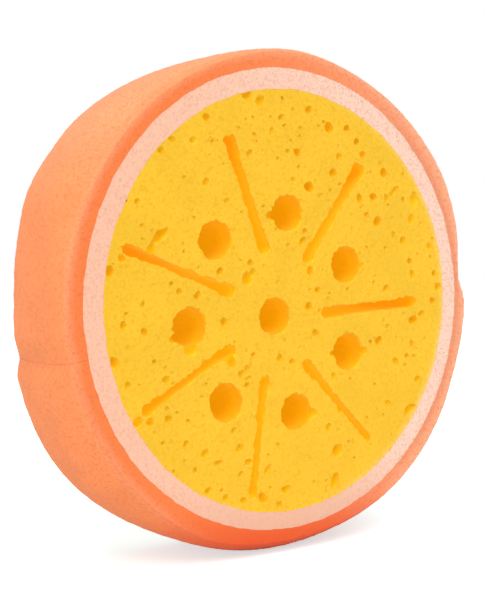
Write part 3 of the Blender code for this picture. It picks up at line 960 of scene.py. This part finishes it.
class FoamRecipe(Recipe):
    """The nodes of one foam."""

    def __init__(self, name):
        self.material = bpy.data.materials.new(name)
        super().__init__(self.material)
        self.place = self.add("ShaderNodeTexCoord", output="Object")

    def blend(self, first, second, share):
        """A colour between two colours."""
        return self.add("ShaderNodeMix", {0: share, 6: first, 7: second}, output=2, data_type="RGBA")

    def layers(self, colour, coats):
        """A colour under coats of other colours, each with its share."""
        for coat, share in coats:
            colour = self.blend(colour, coat, share)
        return colour

    def clouds(self, size, detail=1):
        """Noise from 0 to 1 with patches of about the given size. More detail puts finer ones on them."""
        return self.add("ShaderNodeTexNoise", {"Vector": self.place, "Scale": 1 / size, "Detail": detail})

    def cells(self, size):
        """Distance from the middle of the nearest foam cell, as a share of the cell's size."""
        return self.add("ShaderNodeTexVoronoi", {"Vector": self.place, "Scale": 1 / size}, feature="F1")

    def patchy(self, colour, darkest, palest, patches):
        """A colour that is darker in some slow patches and paler in others."""
        return self.blend(toned(colour, darkest), toned(colour, palest), patches.ramp(*PATCH_TURN))

    def attribute(self, name):
        """A number that the mesh holds for each of its points."""
        return self.add("ShaderNodeAttribute", output="Fac", attribute_name=name)

    def finish(self, colour, glow, relief, relief_height, sheen):
        """Connect the colour, the light that comes through the foam and the relief, and set a dull shine."""
        heights = {"Height": relief, "Strength": RELIEF_STRENGTH, "Distance": relief_height}
        bump = self.add("ShaderNodeBump", heights)
        self.fill(self.tree.nodes["Principled BSDF"], {
            "Base Color": colour, "Emission Color": glow, "Emission Strength": 1.0, "Normal": bump,
            "Roughness": FOAM_ROUGHNESS, "Specular IOR Level": FOAM_SHINE,
            "Sheen Weight": sheen, "Sheen Roughness": SHEEN_ROUGHNESS,
        })
        return self.material


BLACK = (0, 0, 0)
WHITE = (1, 1, 1)


def toned(colour, level):
    """A colour made darker or paler by a level."""
    return [min(1, channel * level) for channel in colour]


class Spot:
    """Where the shaded point lies on the sponge."""

    def __init__(self, recipe):
        self.right = recipe.add("ShaderNodeSeparateXYZ", {0: recipe.place})
        self.height = self.right.beside("Z")
        self.depth = FACE - abs(self.right.beside("Y"))
        above = self.height - CENTRE.z
        self.radius = self.right.math("SQRT", self.right * self.right + above * above)


# Sizes of the patterns in the foams: the fine grain, the small dark pits of the core and of the rind, the
# pale ring's specks, the cells of the core's relief, and the slow patches of the core and of the rind
GRAIN_SIZE = 0.7 * MM
CORE_PIT_SIZE = 1.1 * MM
RIND_PIT_SIZE = 0.9 * MM
SPECK_SIZE = 0.55 * MM
CELL_SIZE = 0.75 * MM
CORE_PATCH_SIZE = 14 * MM
RIND_PATCH_SIZE = 12 * MM

# Height of the relief on the core's foam and on the finer foam of the ring and the rind
CORE_RELIEF = 0.1 * MM
FINE_RELIEF = 0.12 * MM


def core_material(colours):
    """Yellow foam: fine grain on the faces, and painted shade of deep orange down in the pores, holes and
    slits.
    """
    recipe = FoamRecipe("core_foam")
    spot = Spot(recipe)
    slit, hole = (recipe.attribute(name) for name in ("slit", "hole"))
    grain = recipe.clouds(GRAIN_SIZE, detail=2)
    beside_ring = spot.radius.ramp(CORE_RADIUS - 2 * MM, CORE_RADIUS)
    under_face = spot.depth.ramp_mm(0.05, 0.8)
    foam = recipe.layers(recipe.patchy(colours.core, 0.97, 1.02, recipe.clouds(CORE_PATCH_SIZE)), (
        (colours.core_rim, beside_ring * spot.right.ramp_mm(0, 45) * 0.5),
        (colours.core_grain_and_pore_shade, grain.ramp(0.42, 0.7) * 0.4),
        (colours.core_grain_and_pore_shade, recipe.clouds(CORE_PIT_SIZE).ramp(0.6, 0.72) * 0.5),
        # Painted shade: the foam turns orange just under the face, in every pore
        (colours.core_grain_and_pore_shade, under_face),
        # Painted shade, deeper still, on the walls of the holes and slits and further down in any pore
        (colours.core_cut_shade, under_face * (slit + hole) + spot.depth.ramp_mm(0.6, 1.5)),
    ))
    upper_outer_end = spot.radius.ramp_mm(25, 48) * spot.height.ramp_mm(32, 62)
    slit_light = recipe.blend(colours.slit_glow, colours.slit_end_glow, upper_outer_end)
    glow = recipe.layers(BLACK, (
        (colours.pore_glow, spot.depth.ramp_mm(0, 0.7)),
        (slit_light, spot.depth.ramp_mm(0.2, 1.5) * slit),
        (colours.hole_glow, spot.depth.ramp_mm(1, 4) * hole),
    ))
    relief = grain * 0.8 + recipe.cells(CELL_SIZE) * 0.5
    return recipe.finish(foam, glow, relief, CORE_RELIEF, sheen=0.08)


def pith_material(colours):
    """Pale pink foam with fine grain and dark specks, and painted shade low down by the floor.

    The right is paler, with more specks near the rim.
    """
    recipe = FoamRecipe("pith_foam")
    spot = Spot(recipe)
    grain = recipe.clouds(GRAIN_SIZE, detail=2)
    near_rim = spot.radius.ramp(PITH_RADIUS - 4 * MM, PITH_RADIUS)
    specks = recipe.clouds(SPECK_SIZE) + spot.right.ramp_mm(-25, 50) * near_rim * 0.1
    foam = recipe.layers(colours.pith, (
        (colours.pith_pale, spot.right.ramp_mm(-50, 35)),
        # Painted shade low down, by the floor
        (toned(colours.pith, 0.86), spot.height.ramp_mm(25, 5)),
        (colours.pith_grain, grain.ramp(0.44, 0.7) * 0.7),
        (colours.speck, specks.ramp(0.66, 0.76) * 0.35),
    ))
    return recipe.finish(foam, BLACK, grain, FINE_RELIEF, sheen=0.1)


def rind_material(colours):
    """Orange foam with grain and small dark cells, paled at its scuffed edges by a painted highlight, with
    painted light on top and on the right, and painted shade low down.
    """
    recipe = FoamRecipe("rind_foam")
    spot = Spot(recipe)
    grain = recipe.clouds(GRAIN_SIZE, detail=2)
    # Painted light: the top of the side and the right of the rind are painted paler; at the edges the paling
    # is partly scuffing and partly a painted highlight
    painted_top_light = spot.height.ramp_mm(85, 115) * spot.depth.ramp_mm(0.8, 2.5)
    scuffed_and_lit = recipe.attribute("edge_scuff_and_highlight") * 0.3 + spot.right.ramp_mm(-30, 60) * 0.6 + painted_top_light * 0.3
    beside_ring = spot.radius.ramp(PITH_RADIUS + 2 * MM, PITH_RADIUS)
    patches = recipe.clouds(RIND_PATCH_SIZE, detail=2)
    foam = recipe.layers(recipe.patchy(colours.rind, 0.97, 1.05, patches), (
        (colours.rind_face, spot.depth.ramp_mm(0.8, 0.2)),
        (colours.rind_scuff_and_light, scuffed_and_lit),
        # Painted shade low down by the floor, weaker behind the face
        (colours.rind_floor_shade, (spot.height + spot.depth * 0.5).ramp_mm(18, 1)),
        (colours.glue, beside_ring * spot.right.ramp_mm(15, 50) * 0.5),
        (colours.rind_grain, grain.ramp(0.44, 0.72) * 0.4),
        (colours.rind_grain, recipe.clouds(RIND_PIT_SIZE).ramp(0.66, 0.76) * 0.4),
    ))
    return recipe.finish(foam, BLACK, grain, FINE_RELIEF, sheen=0.08)


# Floor, where half its width is in metres. The camera sees its paper with a share of white light over it, so
# that only the deep part of the shadow shows. The paper takes out the red that the rind throws on it. On the
# sponge the floor throws back an even grey.
FLOOR_HALF = 1.5
FLOOR_WHITE_SHARE = 0.2
FLOOR_WHITE_LEVEL = 3.05
FLOOR_PAPER = (0.77, 1, 1)
FLOOR_BOUNCE = (0.8, 0.8, 0.8)

# Lamps: where their light comes from, how wide they are seen from the sponge, and the strength at which one
# shows a white surface as white
OVERHEAD_FROM = Vector((-0.15, -0.44, 0.89))
OVERHEAD_WIDTH = math.radians(60)
SIDE_FROM = Vector((-0.93, -0.32, 0.18))
SIDE_WIDTH = math.radians(40)
FULL_LAMP = math.pi

# The picture's size, the pixel at which the middle of the front face lands, and the sensor's width in mm
PICTURE = Vector((486, 600))
AIM_PIXEL = Vector((289.2, 300.4))
SENSOR = 36.0


def seen_ray(recipe):
    """1 for rays that show the floor or the background itself, 0 for light that falls on the sponge."""
    camera = recipe.add("ShaderNodeLightPath", output="Is Camera Ray")
    return camera + camera.beside("Is Glossy Ray") + camera.beside("Is Transmission Ray")


def add_floor():
    """A white floor, lit past white, so that only the deep part of the sponge's shadow is seen."""
    plane = bmesh.new()
    bmesh.ops.create_grid(plane, x_segments=1, y_segments=1, size=FLOOR_HALF)
    floor = new_object("floor", mesh_of("floor", plane))
    material = bpy.data.materials.new("floor")
    recipe = Recipe(material)
    recipe.tree.nodes.remove(recipe.tree.nodes["Principled BSDF"])
    bounce = recipe.add("ShaderNodeBsdfDiffuse", {"Color": FLOOR_BOUNCE})
    paper = recipe.add("ShaderNodeBsdfDiffuse", {"Color": FLOOR_PAPER})
    white = recipe.add("ShaderNodeEmission", {"Color": WHITE, "Strength": FLOOR_WHITE_LEVEL})
    shown = recipe.add("ShaderNodeMixShader", {0: FLOOR_WHITE_SHARE, 1: paper, 2: white})
    surface = recipe.add("ShaderNodeMixShader", {0: seen_ray(recipe), 1: bounce, 2: shown})
    recipe.fill(recipe.tree.nodes["Material Output"], {"Surface": surface})
    floor.data.materials.append(material)


def add_world(level):
    """Even light from all around, in front of a white background."""
    world = bpy.data.worlds.new("studio")
    bpy.context.scene.world = world
    recipe = Recipe(world)
    strengths = {"Value": seen_ray(recipe), "To Min": level, "To Max": 1.0}
    strength = recipe.add("ShaderNodeMapRange", strengths)
    recipe.fill(recipe.tree.nodes["Background"], {"Color": WHITE, "Strength": strength})


def add_lamp(name, source, width, level):
    """A very soft lamp, whose light comes from the given direction."""
    light = bpy.data.lights.new(name, "SUN")
    light.energy = level * FULL_LAMP
    light.angle = width
    lamp = new_object(name, light)
    lamp.rotation_mode = "QUATERNION"
    lamp.rotation_quaternion = source.to_track_quat("Z", "Y")
    lamp.location = CENTRE + source


def add_camera(studio):
    """The photograph's view: the middle of the front face lands right of the picture's middle."""
    flat = math.cos(studio.elevation)
    back = Vector((math.sin(studio.azimuth) * flat, -math.cos(studio.azimuth) * flat,
                   math.sin(studio.elevation)))
    lens = bpy.data.cameras.new("camera")
    lens.lens = studio.lens
    lens.sensor_width = SENSOR
    pixels_away = studio.lens / SENSOR * max(PICTURE)
    offset = AIM_PIXEL - PICTURE / 2
    sight = Vector((offset.x, -offset.y, -pixels_away))
    turn = Vector((0, 0, -1)).rotation_difference(sight)
    camera = new_object("camera", lens)
    camera.rotation_mode = "QUATERNION"
    camera.rotation_quaternion = back.to_track_quat("Z", "Y") @ turn.inverted()
    camera.location = CENTRE + Vector((0, -FACE, 0)) + back * studio.distance
    bpy.context.scene.camera = camera


class SPONGE_OT_stage(bpy.types.Operator):
    """Set up the floor, the background, the lamps and the camera"""

    bl_idname = "sponge.stage"
    bl_label = "Stage"

    def execute(self, context):
        studio = context.scene.studio_setting
        add_floor()
        add_world(studio.room_level)
        add_lamp("overhead_lamp", OVERHEAD_FROM, OVERHEAD_WIDTH, studio.overhead_level)
        add_lamp("side_lamp", SIDE_FROM, SIDE_WIDTH, studio.side_level)
        add_camera(studio)
        context.scene.view_settings.view_transform = "Standard"
        return {"FINISHED"}


class SPONGE_PT_panel(bpy.types.Panel):
    """Buttons and sizes of the sponge"""

    bl_label = "Bath sponge"
    bl_idname = "SPONGE_PT_panel"
    bl_space_type = "VIEW_3D"
    bl_region_type = "UI"
    bl_category = "Bath sponge"

    def draw(self, context):
        for operator in OPERATORS:
            self.layout.operator(operator.bl_idname)
        for name in SETTINGS:
            group = getattr(context.scene, name)
            box = self.layout.box()
            for field in group.__annotations__:
                box.prop(group, field)


OPERATORS = (SPONGE_OT_core, SPONGE_OT_pith_ring, SPONGE_OT_rind, SPONGE_OT_stage)
SETTINGS = {"foam_shape": FoamShape, "foam_colours": FoamColours, "studio_setting": StudioSetting}


def register():
    for group in SETTINGS.values():
        bpy.utils.register_class(group)
    for name, group in SETTINGS.items():
        setattr(bpy.types.Scene, name, PointerProperty(type=group))
    for operator in OPERATORS:
        bpy.utils.register_class(operator)
    bpy.utils.register_class(SPONGE_PT_panel)


def unregister():
    bpy.utils.unregister_class(SPONGE_PT_panel)
    for operator in reversed(OPERATORS):
        bpy.utils.unregister_class(operator)
    for name in SETTINGS:
        delattr(bpy.types.Scene, name)
    for group in SETTINGS.values():
        bpy.utils.unregister_class(group)


def main():
    """Model the sponge and its stage."""
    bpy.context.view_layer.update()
    register()
    bpy.ops.sponge.core()
    bpy.ops.sponge.pith_ring()
    bpy.ops.sponge.rind()
    bpy.ops.sponge.stage()


if __name__ == "__main__":
    main()
